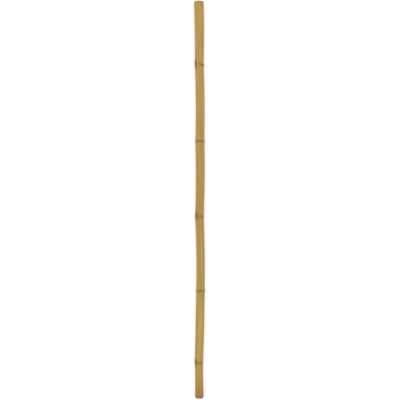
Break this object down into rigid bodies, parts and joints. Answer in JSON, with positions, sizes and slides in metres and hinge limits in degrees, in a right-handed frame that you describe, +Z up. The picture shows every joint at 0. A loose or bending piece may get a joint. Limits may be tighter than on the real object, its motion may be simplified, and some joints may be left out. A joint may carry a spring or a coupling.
{
  "type": "bamboo cane",
  "caption": "Long dried bamboo cane lying on its side, with swollen ringed nodes, low branch scars and hollow sawn ends.",
  "frame": {"origin": "on the surface that the cane lies on, under the middle of its length and width", "axes": "+Y along the cane towards its thick end, +Z up from the surface, +X to the side opposite the larger branch scars"},
  "size_m": [0.0338, 1.2, 0.03],
  "materials": {
    "bamboo_rind": "dried golden-tan bamboo rind with a satin natural wax bloom, lengthwise streaks and brown scars at the nodes"
  },
  "bodies": {
    "root": {"cane": "bamboo_rind"}
  },
  "joints": []
}
